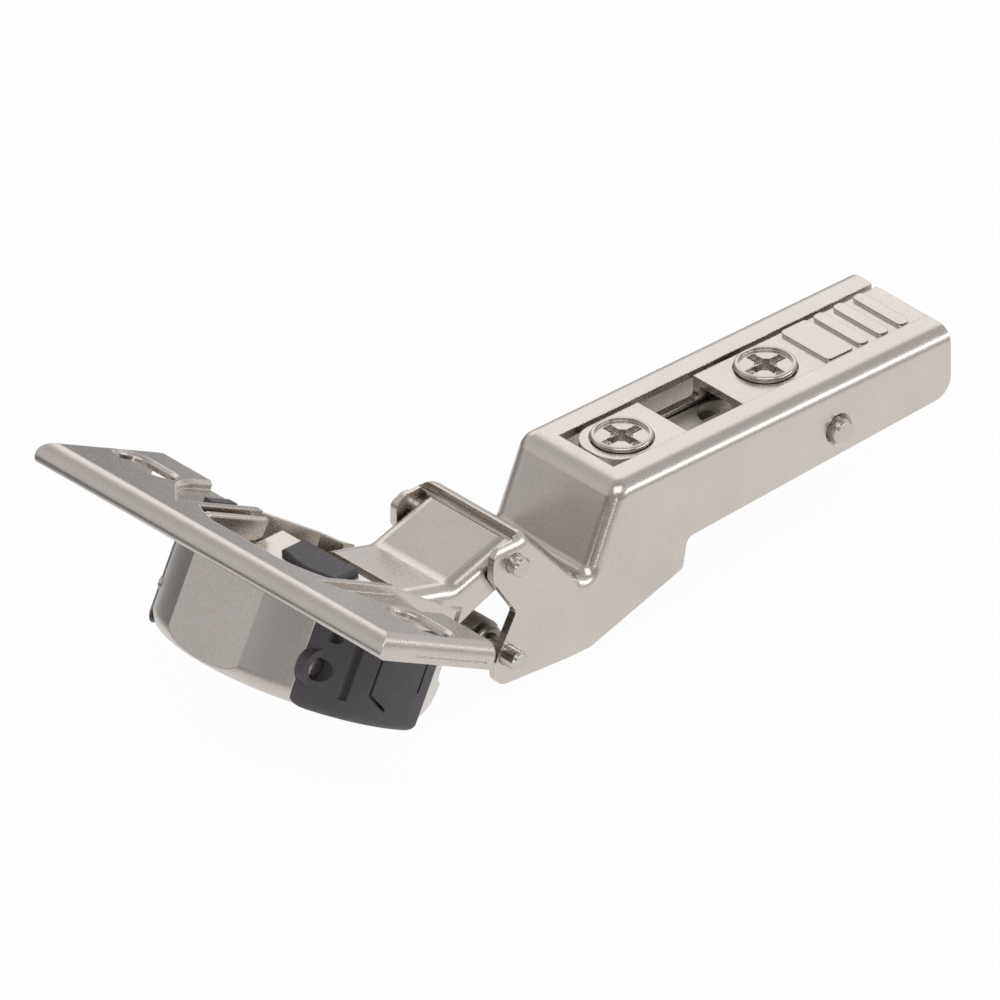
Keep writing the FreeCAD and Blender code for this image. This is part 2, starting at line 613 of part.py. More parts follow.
def make_screw(name, place_x, head_up, lower):
    """Adjusting screw: dished head with a cross recess, a neck and what is below it."""
    body = new_body(name)
    section = sketch_on(body, "XY_Plane", name + "_head_plan", "carrier_top - head_sink")
    circle(section, place_x, "0", "head_r")
    head = pad(body, section, name + "_head", "head_sink + " + head_up, "One side")
    top = value("carrier_top + " + head_up)

    def rim(edge):
        box = edge.BoundBox
        return box.ZLength < 1e-6 and abs(box.ZMin - top) < 1e-6

    dress(body, head, name + "_rim", "Fillet", "pin_chamfer", rim)
    start = "carrier_top - head_sink"
    for part, radius, length in lower:
        step = sketch_on(body, "XY_Plane", name + "_" + part + "_plan", start)
        circle(step, place_x, "0", radius)
        pad(body, step, name + "_" + part, length, "One side", True)
        start = "%s - (%s)" % (start, length)
    for part, radius, depth in (("dish", "head_r - dish_edge", "dish_depth"),
                                ("bore", "bore_r", "bore_depth")):
        hollow = sketch_on(body, "XY_Plane", "%s_%s_plan" % (name, part), "carrier_top + " + head_up)
        circle(hollow, place_x, "0", radius)
        pocket(body, hollow, "%s_%s" % (name, part), depth, "One side")
    for turned, (along, across) in enumerate((("cross_length", "cross_width"),
                                              ("cross_width", "cross_length"))):
        slot = sketch_on(body, "XY_Plane", "%s_cross_%d" % (name, turned),
                         "carrier_top + " + head_up)
        rectangle(slot, "%s - %s / 2" % (place_x, along), "%s + %s / 2" % (place_x, along),
                  "-%s / 2" % across, "%s / 2" % across)
        pocket(body, slot, "%s_recess_%d" % (name, turned), "cross_depth", "One side")
    return in_arm_frame(body)


def make_clip_base():
    """Inner channel that hooks over the mounting plate and slides in the carrier."""
    body = new_body("clip_base")
    side = sketch_on(body, "XZ_Plane", "base_side")
    outline(side, [
        ("base_front", "base_top", "bend"),
        ("base_rear", "base_top", "bend"),
        ("base_rear", "seat_z"),
        ("latch_x + 2 * latch_half", "seat_z"),
        ("latch_x + 2 * latch_half", "seat_z + bend"),
        ("latch_x - 2 * latch_half", "seat_z + bend"),
        ("latch_x - 2 * latch_half", "seat_z"),
        ("base_front + hook_length + bend / 4", "seat_z"),
        ("base_front + hook_length + bend / 4", "seat_z + bend / 4"),
        ("base_front + hook_length / 2", "seat_z + bend / 4"),
        ("base_front + hook_length / 2", "seat_z - hook_depth / 2"),
        ("base_front + hook_length", "seat_z - hook_depth / 2"),
        ("base_front + hook_length", "seat_z - hook_depth"),
        ("base_front", "seat_z - hook_depth", "bend"),
    ])
    pad(body, side, "base_block", "2 * base_half")
    inside = sketch_on(body, "XZ_Plane", "base_inside")
    rectangle(inside, "base_front - steel", "base_rear + steel", "seat_z - 2 * hook_depth",
              "base_top - base_sheet")
    pocket(body, inside, "base_channel", "2 * (base_half - base_sheet)")
    slot = sketch_on(body, "XZ_Plane", "base_travel_slot")
    rectangle(slot, "rear_x - slot_travel_front - rear_pin_r - pin_play",
              "rear_x + slot_travel_rear + rear_pin_r + pin_play",
              "rear_z - rear_pin_r - pin_fit", "rear_z + rear_pin_r + pin_fit")
    pocket(body, slot, "base_slot")
    holes = sketch_on(body, "XZ_Plane", "base_release_hole")
    circle(holes, "release_x", "release_z", "release_pin_r + pin_fit")
    pocket(body, holes, "base_pin_hole")
    access = sketch_on(body, "XY_Plane", "base_access", "base_top - base_sheet / 2")
    circle(access, "base_hole_x", "0", "base_hole_r")
    pocket(body, access, "base_access_hole", "2 * base_sheet")
    peg = sketch_on(body, "XY_Plane", "base_peg_plan", "base_top")
    circle(peg, "depth_x", "0", "peg_r")
    pad(body, peg, "base_peg", PLATE_UNDER + " - cam_thick - 4 * screw_gap - base_top", "One side")
    return in_arm_frame(body)


def make_release_lever():
    """Rocking latch with a nose under the seat and a finger tail at the rear."""
    body = new_body("release_lever")
    side = sketch_on(body, "XZ_Plane", "release_side")
    outline(side, [
        ("latch_x - latch_half", "release_z + release_thick / 2", "bend / 2"),
        ("tail_x", "release_z + release_thick / 2", "bend / 2"),
        ("tail_x", "release_z - release_thick / 2", "bend / 2"),
        ("latch_x + latch_half", "release_z - release_thick / 2", "bend / 2"),
        ("latch_x + latch_half", "latch_low", "bend / 2"),
        ("latch_x - latch_half", "latch_low + release_thick / 2", "bend / 4"),
    ])
    pad(body, side, "release_bar", "2 * release_half")
    boss = sketch_on(body, "XZ_Plane", "release_boss_plan")
    circle(boss, "release_x", "release_z", "release_boss")
    pad(body, boss, "release_eye", "2 * release_half")
    well = sketch_on(body, "XZ_Plane", "release_well")
    circle(well, "release_x", "release_z", "release_boss + release_wire")
    pocket(body, well, "release_spring_room", "release_half")
    hole = sketch_on(body, "XZ_Plane", "release_hole_plan")
    circle(hole, "release_x", "release_z", "release_pin_r + pin_fit")
    pocket(body, hole, "release_hole")
    return in_arm_frame(body)


def wire_spring(name, across, up, ring, wire, sides, legs):
    """Wire bent round a pin along Y, with two straight legs, at each place along the pin."""
    parts = []
    for i, along in enumerate(sides):
        loop = doc.addObject("Part::Torus", "%s_loop_%d" % (name, i))
        loop.Placement.Rotation = App.Rotation(App.Vector(1, 0, 0), 90)
        loop.setExpression("Radius1", formula(ring))
        loop.setExpression("Radius2", formula("%s / 2" % wire))
        loop.setExpression("Placement.Base.x", formula(across))
        loop.setExpression("Placement.Base.y", formula(along))
        loop.setExpression("Placement.Base.z", formula(up))
        parts.append(loop)
        for j, (angle, way, length) in enumerate(legs):
            leg = doc.addObject("Part::Cylinder", "%s_leg_%d_%d" % (name, i, j))
            turned = "%s + %s * 90" % (angle, way)
            leg.Placement.Rotation = App.Rotation(App.Vector(0, 1, 0), 90 - value(turned))
            leg.setExpression("Placement.Rotation.Angle", formula("90 - (%s)" % turned))
            leg.setExpression("Radius", formula("%s / 2" % wire))
            leg.setExpression("Height", formula(length))
            leg.setExpression("Placement.Base.x", formula("%s + %s * cos(%s)" % (across, ring, angle)))
            leg.setExpression("Placement.Base.y", formula(along))
            leg.setExpression("Placement.Base.z", formula("%s + %s * sin(%s)" % (up, ring, angle)))
            parts.append(leg)
    spring = doc.addObject("Part::MultiFuse", name)
    spring.Label = name
    spring.Shapes = parts
    return in_arm_frame(spring)


def make_outer_lever():
    """Wide folded lever: sloping top plate, two flanges and an eye at each end."""
    body = new_body("outer_lever")
    rear_z = "outer_bend_z + (outer_rear_x - outer_bend_x) * tan(outer_slope)"
    front_z = "outer_bend_z + (outer_bend_x - outer_front_x) * tan(outer_rise)"
    rear_end = "upper_x + outer_eye"
    front_end = OUTER_CUP_X + " - outer_cup_eye"
    low = OUTER_CUP_Z + " - outer_cup_eye"
    skin = sketch_on(body, "XZ_Plane", "outer_skin")
    outline(skin, [
        (rear_end, "outer_bend_z + (%s - outer_bend_x) * tan(outer_slope)" % rear_end),
        ("outer_bend_x", "outer_bend_z", "outer_bend_r"),
        (front_end, "outer_bend_z + (outer_bend_x - (%s)) * tan(outer_rise)" % front_end),
        (front_end, low),
        (rear_end, low),
    ])
    block = pad(body, skin, "outer_block", "2 * outer_half")
    half = value("outer_half")
    floor = value("upper_z - outer_eye")

    def along_the_top(edge):
        box = edge.BoundBox
        return box.YLength < 1e-6 and abs(abs(box.YMin) - half) < 1e-6 and box.ZMin > floor

    dress(body, block, "outer_long_edges", "Fillet", "outer_round", along_the_top)
    shift_x = "outer_sheet * sin((outer_slope - outer_rise) / 2) / cos((outer_slope + outer_rise) / 2)"
    shift_z = "outer_sheet * cos((outer_slope - outer_rise) / 2) / cos((outer_slope + outer_rise) / 2)"
    hollow = sketch_on(body, "XZ_Plane", "outer_hollow")
    outline(hollow, [
        ("outer_rear_x", rear_z + " - outer_sheet / cos(outer_slope)"),
        ("outer_bend_x + " + shift_x, "outer_bend_z - " + shift_z, "outer_bend_r + outer_sheet"),
        ("outer_front_x", front_z + " - outer_sheet / cos(outer_rise)"),
        ("outer_front_x", front_z + " + 2 * outer_sheet"),
        (front_end + " - outer_sheet", front_z + " + 2 * outer_sheet"),
        (front_end + " - outer_sheet", low + " - outer_sheet"),
        (rear_end + " + outer_sheet", low + " - outer_sheet"),
        (rear_end + " + outer_sheet", rear_z + " + 2 * outer_sheet"),
        ("outer_rear_x", rear_z + " + 2 * outer_sheet"),
    ])
    pocket(body, hollow, "outer_inside", "2 * (outer_half - outer_sheet)")
    keep_inside(body, "XZ_Plane", "outer_flanges", [
        (rear_end, "upper_z + outer_eye", "0.98 * outer_eye"),
        (rear_end, "upper_z - outer_eye", "0.98 * outer_eye"),
        ("outer_waist_x", "outer_waist_z", "outer_eye"),
        (OUTER_CUP_X + " + 2 * outer_cup_eye", low, "outer_eye"),
        (front_end, low, "0.95 * outer_cup_eye"),
        (front_end, OUTER_CUP_Z + " + outer_cup_eye", "outer_cup_eye"),
        ("outer_front_x", "outer_front_z - outer_sheet"),
        ("outer_front_x", "upper_z + outer_eye"),
    ])
    holes = sketch_on(body, "XZ_Plane", "outer_holes_plan")
    circle(holes, "upper_x", "upper_z", "pin_r + pin_fit")
    circle(holes, OUTER_CUP_X, OUTER_CUP_Z, "cup_pin_r + pin_fit")
    pocket(body, holes, "outer_holes")
    return in_arm_frame(body)


def make_inner_lever():
    """Narrow channel lever between the outer lever's flanges, on the lower pin."""
    body = new_body("inner_lever")
    run = "sqrt((%s) * (%s) + (%s) * (%s))" % (INNER_CUP_X, INNER_CUP_X, INNER_CUP_Z, INNER_CUP_Z)
    side_x = "(%s) / %s * inner_thick / 2" % (INNER_CUP_Z, run)
    side_z = "(%s) / %s * inner_thick / 2" % (INNER_CUP_X, run)
    bar = sketch_on(body, "XZ_Plane", "inner_side")
    outline(bar, [
        (side_x, "-(%s)" % side_z),
        ("-(%s)" % side_x, side_z),
        ("%s - %s" % (INNER_CUP_X, side_x), "%s + %s" % (INNER_CUP_Z, side_z)),
        ("%s + %s" % (INNER_CUP_X, side_x), "%s - %s" % (INNER_CUP_Z, side_z)),
    ])
    pad(body, bar, "inner_bar", "2 * inner_half")
    for part, across, up, radius in (("lower_eye", "0", "0", "inner_eye"),
                                     ("cup_eye", INNER_CUP_X, INNER_CUP_Z, "inner_cup_eye")):
        eye = sketch_on(body, "XZ_Plane", "inner_" + part + "_plan")
        circle(eye, across, up, radius)
        pad(body, eye, "inner_" + part, "2 * inner_half")
    room = sketch_on(body, "XZ_Plane", "inner_room")
    outline(room, [
        ("%s - inner_sheet * %s / %s" % (side_x, INNER_CUP_Z, run),
         "-(%s) + inner_sheet * %s / %s" % (side_z, INNER_CUP_X, run)),
        ("-4 * (%s)" % side_x, "4 * (%s)" % side_z),
        ("%s - 4 * (%s)" % (INNER_CUP_X, side_x), "%s + 4 * (%s)" % (INNER_CUP_Z, side_z)),
        ("%s + %s - inner_sheet * %s / %s" % (INNER_CUP_X, side_x, INNER_CUP_Z, run),
         "%s - %s + inner_sheet * %s / %s" % (INNER_CUP_Z, side_z, INNER_CUP_X, run)),
    ])
    pocket(body, room, "inner_channel", "2 * (inner_half - inner_sheet)")
    holes = sketch_on(body, "XZ_Plane", "inner_holes_plan")
    circle(holes, "0", "0", "pin_r + pin_fit")
    circle(holes, INNER_CUP_X, INNER_CUP_Z, "cup_pin_r + pin_fit")
    pocket(body, holes, "inner_holes")
    return in_arm_frame(body)


def drum_plan(inset):
    """Flats of the drum seen from above, set in by a wall."""
    shift = "%s * tan(drum_taper / 2)" % inset
    end = "drum_flat - %s - (1.05 * drum_r - taper_u + %s) * tan(drum_taper)" % (inset, shift)
    return [("-drum_front + %s" % inset, "-drum_flat + %s" % inset),
            ("taper_u - %s" % shift, "-drum_flat + %s" % inset),
            ("1.05 * drum_r", "-(%s)" % end),
            ("1.05 * drum_r", end),
            ("taper_u - %s" % shift, "drum_flat - %s" % inset),
            ("-drum_front + %s" % inset, "drum_flat - %s" % inset)]


def recess_plan(side, beyond):
    """The coined recess over a housing, seen from above and widened by a sheet."""
    return [("0", "%d * (drum_flat - %s)" % (side, beyond)),
            ("0", "%d * (recess_side + %s)" % (side, beyond)),
            ("-recess_corner - %s / 2" % beyond, "%d * (recess_side + %s)" % (side, beyond),
             "recess_round"),
            ("-recess_front - %s" % beyond, "%d * (drum_flat - %s)" % (side, beyond))]


def at_slot(side):
    """A rule for the upper edges of a fixing slot."""
    middle = side * value("slot_y")
    reach = value("slot_length / 2") + 1e-3

    def rule(edge):
        box = edge.BoundBox
        return box.ZMin > -1e-6 and box.YMin > middle - reach and box.YMax < middle + reach

    return rule


def make_cup():
    """Flange and drum pressed from one sheet, open at the rear for the levers."""
    flange = new_body("cup_flange")
    plan = sketch_on(flange, "XY_Plane", "flange_plan")
    rectangle(plan, "-flange_front", "-flange_rear", "-flange_half", "flange_half")
    block = pad(flange, plan, "flange_block", "rim_height", "One side", True)

    def top_rim(edge):
        box = edge.BoundBox
        at_rear = box.XMin > -value("flange_rear") - 1e-6
        return box.ZMin > -1e-6 and not at_rear

    def lower_front(edge):
        box = edge.BoundBox
        return box.XMax < -value("flange_front") + 1e-6 and box.ZMax < -value("rim_height") + 1e-6

    curled = dress(flange, block, "flange_rim_round", "Fillet", "rim_round", top_rim)
    dress(flange, curled, "flange_rim_curl", "Fillet", "rim_under", lower_front)
    under = sketch_on(flange, "XY_Plane", "flange_under", "-rim_height")
    rectangle(under, "-flange_front + cup_sheet", "-flange_rear + cup_sheet",
              "-flange_half + cup_sheet", "flange_half - cup_sheet")
    pocket(flange, under, "flange_hollow", "rim_height - cup_sheet", "One side", True)
    dish = sketch_on(flange, "XY_Plane", "flange_dish", "-recess_depth")
    recess = sketch_on(flange, "XY_Plane", "flange_recess")
    for side in (-1, 1):
        outline(dish, recess_plan(side, "cup_sheet"))
        outline(recess, recess_plan(side, "0 * cup_sheet"))
    pad(flange, dish, "flange_dish_plate", "cup_sheet", "One side", True)
    pocket(flange, recess, "flange_recess_cut", "recess_depth", "One side")
    rear = sketch_on(flange, "XY_Plane", "flange_rear_plan")
    rectangle(rear, "-flange_rear", "2 * recess_side", "-flange_half", "flange_half")
    pocket(flange, rear, "flange_rear_cut")
    for side in (-1, 1):
        name = "flange_slot_near" if side < 0 else "flange_slot_far"
        slot = sketch_on(flange, "XY_Plane", name)
        middle = "%d * slot_y" % side
        rectangle(slot, "-slot_u - slot_r", "-slot_u + slot_r", middle + " - slot_length / 2",
                  middle + " + slot_length / 2", "0.98 * slot_r")
        cut = pocket(flange, slot, name + "_cut")
        dress(flange, cut, name + "_edge", "Chamfer", "slot_edge", at_slot(side))
    for side in (-1, 1):
        name = "flap_line_near" if side < 0 else "flap_line_far"
        line = sketch_on(flange, "XZ_Plane", name, "%d * flange_half" % -side)
        rectangle(line, "-flap_line_front", "-flap_line_rear",
                  "-flap_line - line_width / 3", "-flap_line + line_width / 3")
        pocket(flange, line, name + "_cut", "panel_depth / 2", "One side", side > 0)
    gap = sketch_on(flange, "XY_Plane", "flange_tab_plan")
    rectangle(gap, "-tab_front - tab_gap", "-tab_rear + tab_gap",
              "tab_y - tab_half - tab_gap", "tab_y + tab_half + tab_gap")
    pocket(flange, gap, "flange_tab_hole")

    drum = new_body("cup_drum")
    ring = sketch_on(drum, "XY_Plane", "drum_ring")
    circle(ring, "0", "0", "drum_r")
    block = pad(drum, ring, "drum_block", "drum_depth", "One side", True)
    dress(drum, block, "drum_bottom_round", "Fillet", "drum_round",
          lambda edge: edge.BoundBox.ZMax < -value("drum_depth") + 1e-6)
    keep_inside(drum, "XY_Plane", "drum_flats", drum_plan("0 * cup_sheet"))
    crown = sketch_on(drum, "XZ_Plane", "drum_crown")
    outline(crown, [
        ("-wall_rise", "cup_sheet"),
        ("-wall_rise", "0"),
        ("drum_flat", "-wall_drop"),
        ("2 * drum_r", "-mouth_low"),
        ("2 * drum_r", "cup_sheet"),
    ])
    pocket(drum, crown, "drum_crown_cut")
    gate = sketch_on(drum, "YZ_Plane", "drum_gate")
    rectangle(gate, "-lever_gate", "lever_gate", "-lever_gate_low", "cup_sheet", "drum_round")
    pocket(drum, gate, "drum_gate_cut", "2 * drum_r", "One side", True)
    holes = sketch_on(drum, "XZ_Plane", "drum_pin_holes")
    circle(holes, "outer_cup_u", "-outer_cup_d", "cup_pin_r + pin_fit")
    circle(holes, "-damper_u", "-damper_d", "damper_pin_r + pin_fit")
    pocket(drum, holes, "drum_holes")

    cavity = new_body("cup_cavity")
    hole = sketch_on(cavity, "XY_Plane", "cavity_ring", "cup_sheet")
    circle(hole, "0", "0", "drum_r - cup_sheet")
    block = pad(cavity, hole, "cavity_block", "drum_depth", "One side", True)
    dress(cavity, block, "cavity_bottom_round", "Fillet", "drum_round - cup_sheet",
          lambda edge: edge.BoundBox.ZMax < -value("drum_depth - cup_sheet") + 1e-6)
    keep_inside(cavity, "XY_Plane", "cavity_flats", drum_plan("cup_sheet"))

    pressing = doc.addObject("Part::Fuse", "cup_pressing")
    pressing.Base = flange
    pressing.Tool = drum
    cup = doc.addObject("Part::Cut", "cup")
    cup.Label = "cup"
    cup.Base = pressing
    cup.Tool = cavity
    return in_cup_frame(cup)


def make_housing(name, side):
    """Plastic housing on one flat of the drum, with lines, a boss or a tab on it."""
    body = new_body(name)
    ring = sketch_on(body, "XY_Plane", name + "_ring", "-housing_top")
    circle(ring, "0", "0", "drum_r")
    pad(body, ring, name + "_block", "drum_depth - housing_top", "One side", True)
    cut = keep_inside(body, "XY_Plane", name + "_limits", [
        ("-housing_front", "%d * 2 * drum_r" % side),
        ("housing_rear", "%d * 2 * drum_r" % side),
        ("housing_rear", "%d * (drum_flat + housing_gap)" % side),
        ("-housing_front", "%d * (drum_flat + housing_gap)" % side),
    ])
    dress(body, cut, name + "_bottom_round", "Fillet", "bend",
          lambda edge: edge.BoundBox.ZMax < -value("drum_depth") + 1e-6)
    if side < 0:
        add_near_details(body)
    else:
        tab = sketch_on(body, "XY_Plane", "housing_tab_plan", "-housing_top - bend")
        rectangle(tab, "-tab_front", "-tab_rear", "tab_y - tab_half", "tab_y + tab_half")
        pad(body, tab, "housing_tab", "housing_top + bend - tab_d", "One side")
    hole = sketch_on(body, "XZ_Plane", name + "_pin_plan")
    circle(hole, "-damper_u", "-damper_d", "damper_pin_r + pin_fit")
    pocket(body, hole, name + "_pin_hole")
    return in_cup_frame(body)


def add_near_details(body):
    """The near housing's boss, moulded lines, broad groove and dimple."""
    boss = sketch_on(body, "XZ_Plane", "housing_boss_plan", "drum_flat + housing_gap")
    circle(boss, "-damper_u", "-damper_d", "boss_r")
    pad(body, boss, "housing_boss", "boss_rise", "One side")
    for part, middle, width, low in (("rear_line", "line_rear", "line_width", "line_low - bend"),
                                     ("rib", "-rib_u", "rib_width", "line_low + bend")):
        skin = "sqrt(drum_r * drum_r - (%s) * (%s)) - panel_depth" % (middle, middle)
        groove = sketch_on(body, "XZ_Plane", "housing_%s_plan" % part, skin)
        rectangle(groove, "%s - %s / 2" % (middle, width), "%s + %s / 2" % (middle, width),
                  "-(%s)" % low, "-line_top")
        pocket(body, groove, "housing_" + part, "2 * bend", "One side", True)
    skin = "sqrt(drum_r * drum_r - line_front * line_front) - panel_depth"
    bent = sketch_on(body, "XZ_Plane", "housing_front_line_plan", skin)
    outline(bent, [
        ("-line_front - line_width / 2", "-line_top"),
        ("-line_front - line_width / 2", "-line_low - line_width / 2"),
        ("-line_end", "-line_end_low - line_width / 2"),
        ("-line_end", "-line_end_low + line_width"),
        ("-line_front + line_width / 2", "-line_low + line_width / 2"),
        ("-line_front + line_width / 2", "-line_top"),
    ])
    pocket(body, bent, "housing_front_line", "2 * bend", "One side", True)
    skin = "sqrt(drum_r * drum_r - dimple_u * dimple_u) - 2 * panel_depth"
    dimple = sketch_on(body, "XZ_Plane", "housing_dimple_plan", skin)
    circle(dimple, "-dimple_u", "-dimple_d", "dimple_r")
    pocket(body, dimple, "housing_dimple", "2 * bend", "One side", True)


def make_bracket():
    """Upright steel bracket of the damper, beside the cup's far wall."""
    body = new_body("damper_bracket")
    side = sketch_on(body, "XZ_Plane", "bracket_side", "-bracket_y")
    outline(side, [
        ("-bracket_front", "-bracket_top", "bend / 2"),
        ("-bracket_rear", "-bracket_top", "bend / 2"),
        ("-bracket_rear", "-bracket_low"),
        ("-bracket_leg_rear", "-bracket_low"),
        ("-bracket_leg_rear", "-drum_depth + cup_sheet + housing_gap"),
        ("-bracket_leg_front", "-drum_depth + cup_sheet + housing_gap"),
        ("-bracket_leg_front", "-bracket_low"),
        ("-bracket_front", "-bracket_low"),
    ])
    plate = pad(body, side, "bracket_plate", "bracket_sheet")
    top = value("-bracket_top")
    dress(body, plate, "bracket_top_edge", "Fillet", "0.45 * bracket_sheet",
          lambda edge: edge.BoundBox.ZMin > top - 1e-6 and edge.BoundBox.XLength > 1.0)
    return in_cup_frame(body)


def make_deck():
    """Small level plate in the cup with a leg to the cup's floor."""
    body = new_body("deck_plate")
    side = sketch_on(body, "XZ_Plane", "deck_side")
    outline(side, [
        ("-deck_front", "-deck_top"),
        ("-deck_rear", "-deck_top"),
        ("-deck_rear", "-deck_top - deck_sheet"),
        ("-deck_front + deck_sheet", "-deck_top - deck_sheet"),
        ("-deck_front + deck_sheet", DECK_FOOT),
        ("-deck_front", DECK_FOOT),
    ])
    pad(body, side, "deck_fold", "2 * deck_half")
    keep_inside(body, "YZ_Plane", "deck_outline", [
        ("-deck_half", "-deck_top"),
        ("-deck_half", "-deck_top - 2 * deck_sheet"),
        ("-leg_half", "-deck_top - 2 * deck_sheet"),
        ("-leg_half", DECK_FOOT),
        ("leg_half", DECK_FOOT),
        ("leg_half", "-deck_top - 2 * deck_sheet"),
        ("deck_half", "-deck_top - 2 * deck_sheet"),
        ("deck_half", "-deck_top"),
    ])
    slot = sketch_on(body, "XY_Plane", "deck_slot", "-deck_top - deck_sheet / 2")
    rectangle(slot, "-stem_x - stem_half - switch_gap", "-stem_x + stem_half + switch_gap",
              "-stem_half - switch_gap", "stem_half + switch_travel + switch_gap")
    pocket(body, slot, "deck_slot_cut", "2 * deck_sheet")
    return in_deck_frame(body)


def make_switch():
    """Sliding switch on the deck, with a stem through the deck's slot."""
    body = new_body("damping_switch")
    plan = sketch_on(body, "XY_Plane", "switch_plan", "-deck_top + switch_gap")
    outline(plan, [
        ("-switch_rear", "-switch_half"),
        ("-switch_rear", "switch_half"),
        ("-switch_front + switch_bow / 2", "switch_half"),
        ("-switch_front - switch_bow / 2", "0", "2 * switch_half"),
        ("-switch_front + switch_bow / 2", "-switch_half"),
    ])
    cap = pad(body, plan, "switch_cap", "switch_rise - switch_gap", "One side")
    top = value("-deck_top + switch_rise")
    dress(body, cap, "switch_edges", "Chamfer", "switch_chamfer",
          lambda edge: edge.BoundBox.ZMin > top - 1e-6)
    stem = sketch_on(body, "XY_Plane", "switch_stem_plan", "-deck_top + switch_gap")
    rectangle(stem, "-stem_x - stem_half", "-stem_x + stem_half", "-stem_half", "stem_half")
    pad(body, stem, "switch_stem", "3 * deck_sheet", "One side", True)
    return in_deck_frame(body)


# The sub-parts

nodes = [
    make_arm(),
    make_bridge(),
    in_arm_frame(pin("upper_arm_pin", "upper_x", "upper_z", "pin_r", "arm_half + upper_stand")),
    in_arm_frame(pin("lower_arm_pin", "0", "0", "pin_r", "arm_half + lower_stand")),
    in_arm_frame(pin("rear_pin", "rear_x", "rear_z", "rear_pin_r", "arm_half + rear_stand")),
    wire_spring("closing_spring", "0", "0", "spring_r", "spring_wire",
                ["inner_half + spring_side", "-inner_half - spring_side"],
                [("spring_back_angle", "1", "spring_back_leg"),
                 ("spring_front_angle", "-1", "spring_front_leg")]),
    make_carrier(),
    make_screw("side_screw", "side_x", "head_up", [
        ("neck", "neck_r", "carrier_sheet - head_sink + screw_gap"),
        ("collar", "cam_r", "cam_thick"),
        ("thread", "thread_r", "side_reach"),
    ]),
    make_screw("depth_screw", "depth_x", "depth_up", [
        ("neck", "neck_r", "carrier_sheet - head_sink + screw_gap"),
        ("cam", "cam_r", "cam_thick"),
    ]),
    make_clip_base(),
    make_release_lever(),
    in_arm_frame(pin("release_pin", "release_x", "release_z", "release_pin_r",
                     "base_half - pin_fit")),
    wire_spring("release_spring", "release_x", "release_z", "release_coil_r", "release_wire",
                ["0"],
                [("90", "-1", "release_leg"), ("90", "1", "release_leg")]),
    make_outer_lever(),
    make_inner_lever(),
    in_cup_frame(pin("outer_cup_pin", "outer_cup_u", "-outer_cup_d", "cup_pin_r",
                     "drum_flat - pin_fit")),
    in_cup_frame(pin("inner_cup_pin", "inner_cup_u", "-inner_cup_d", "cup_pin_r",
                     "inner_half + pin_beyond")),
    make_cup(),
    in_cup_frame(pin("damper_pin", "-damper_u", "-damper_d", "damper_pin_r",
                     "drum_flat + pin_reach")),
    make_bracket(),
    make_deck(),
    make_switch(),
    make_housing("damper_housing_near", -1),
    make_housing("damper_housing_far", 1),
]

# Checks and export

doc.recompute()
failed = [item.Name for item in doc.Objects if "Invalid" in item.State or "Error" in item.State]
if failed:
    raise RuntimeError("these objects did not build: " + ", ".join(failed))
for node in nodes:
    shape = Part.getShape(node)
    if shape.isNull() or not shape.isValid() or not shape.Solids:
        raise RuntimeError(node.Label + " has no valid solid")
for node in nodes:
    Part.getShape(node).exportStep("parts/%s.step" % node.Label)
print("%d sub-parts written" % len(nodes))
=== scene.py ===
"""Looks of a clip-on concealed cabinet hinge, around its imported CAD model."""

import bpy
from mathutils import Matrix, Vector


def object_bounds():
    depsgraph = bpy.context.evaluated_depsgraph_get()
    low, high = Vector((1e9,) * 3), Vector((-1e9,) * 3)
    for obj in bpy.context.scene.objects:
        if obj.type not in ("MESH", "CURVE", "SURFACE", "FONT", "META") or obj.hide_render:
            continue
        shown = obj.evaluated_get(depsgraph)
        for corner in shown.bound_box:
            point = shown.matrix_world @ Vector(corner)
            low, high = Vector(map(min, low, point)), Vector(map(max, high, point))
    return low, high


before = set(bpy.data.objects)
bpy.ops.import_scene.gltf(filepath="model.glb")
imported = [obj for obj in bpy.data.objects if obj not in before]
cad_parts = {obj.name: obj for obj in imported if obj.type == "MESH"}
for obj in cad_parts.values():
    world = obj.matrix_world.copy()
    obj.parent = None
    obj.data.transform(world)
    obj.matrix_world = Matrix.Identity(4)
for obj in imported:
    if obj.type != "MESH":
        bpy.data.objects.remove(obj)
cad_low, cad_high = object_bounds()
scene = bpy.context.scene
scene.view_settings.view_transform = "Standard"
MM = 0.001


# Camera: the photograph's direction, without perspective

RIGHT = Vector((0.7363, -0.6766, 0.0))
UP = Vector((0.3571, 0.3886, 0.8494))
AHEAD = Vector((0.5747, 0.6254, -0.5277))
CENTRE = RIGHT * -21.2 * MM + UP * -2.17 * MM
VIEW_WIDTH = 0.1112
CAMERA_DISTANCE = 0.5

camera_data = bpy.data.cameras.new("camera")
camera_data.type = "ORTHO"
camera_data.ortho_scale = VIEW_WIDTH
camera = bpy.data.objects.new("camera", camera_data)
scene.collection.objects.link(camera)
turn = Matrix((RIGHT, UP, -AHEAD)).transposed().to_4x4()
camera.matrix_world = Matrix.Translation(CENTRE - AHEAD * CAMERA_DISTANCE) @ turn
scene.camera = camera


# Light: two soft lamps and two strips, each with its place, aim, size and power

